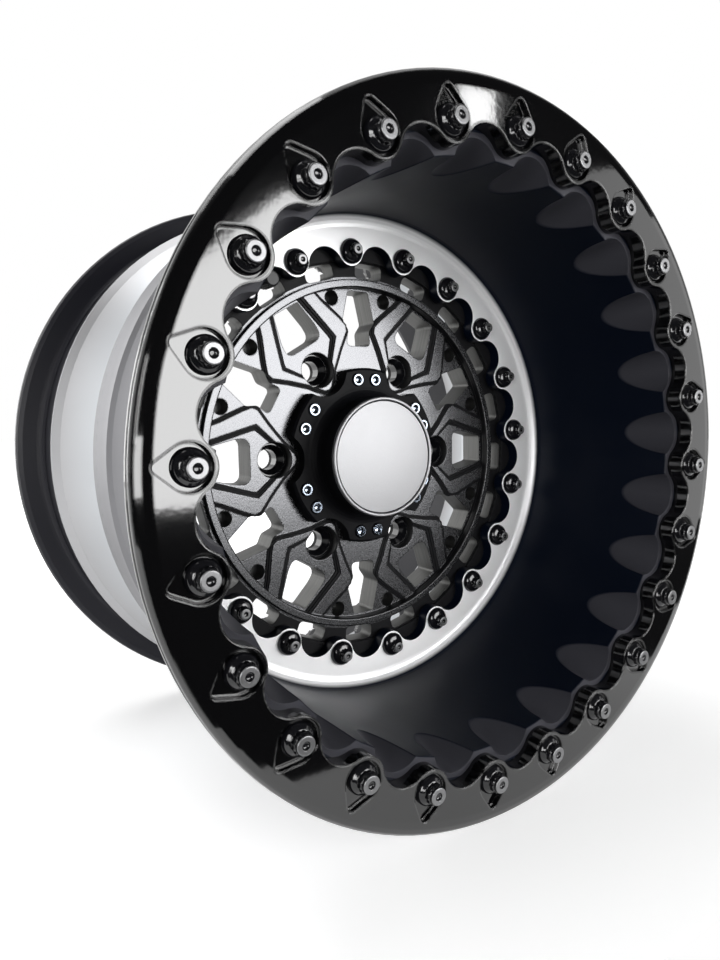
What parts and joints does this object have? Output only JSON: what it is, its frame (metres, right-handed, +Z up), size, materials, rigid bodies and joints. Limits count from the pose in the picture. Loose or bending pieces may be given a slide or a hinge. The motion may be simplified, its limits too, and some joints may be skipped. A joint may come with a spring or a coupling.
{
  "type": "beadlock wheel",
  "caption": "Deep-dish two-half beadlock wheel: scalloped outer clamp ring with bolts in drop-shaped pockets, bolted forged spoke centre, lobed hub cap and bent valve.",
  "frame": {"origin": "on the axle, in the plane of the hub pad that seats against the hub", "axes": "+Y along the axle towards the vehicle, so the dished outboard face looks to -Y; +Z up; +X to the right as the face is seen, through a lug hole"},
  "size_m": [0.4159, 0.3122, 0.416],
  "materials": {
    "ring_gloss_black": "gloss",
    "bolt_black": "satin",
    "outer_barrel": "satin",
    "inner_barrel": "satin",
    "seal_rubber": "matte",
    "centre_machined": "brushed",
    "seat_black": "satin",
    "cap_gloss_black": "gloss",
    "cap_lid": "satin",
    "screw_steel": "polished",
    "valve_black": "satin",
    "valve_hardware": "satin",
    "valve_core_brass": "satin",
    "valve_cap": "matte"
  },
  "bodies": {
    "root": {"beadlock_ring": "ring_gloss_black", "beadlock_bolts": "bolt_black", "outer_barrel": "outer_barrel", "inner_barrel": "inner_barrel", "barrel_seal": "seal_rubber", "forged_centre": "centre_machined", "joint_bolts": "bolt_black", "joint_nuts": "bolt_black", "lug_seats": "seat_black", "cap_body": "cap_gloss_black", "cap_lid": "cap_lid", "cap_lid_seal": "seal_rubber", "cap_screws": "screw_steel", "valve_stem": "valve_black", "valve_grommet": "seal_rubber", "valve_washer": "valve_hardware", "valve_nut": "valve_hardware", "valve_core": "valve_core_brass", "valve_cap": "valve_cap", "valve_cap_seal": "seal_rubber"}
  },
  "joints": []
}
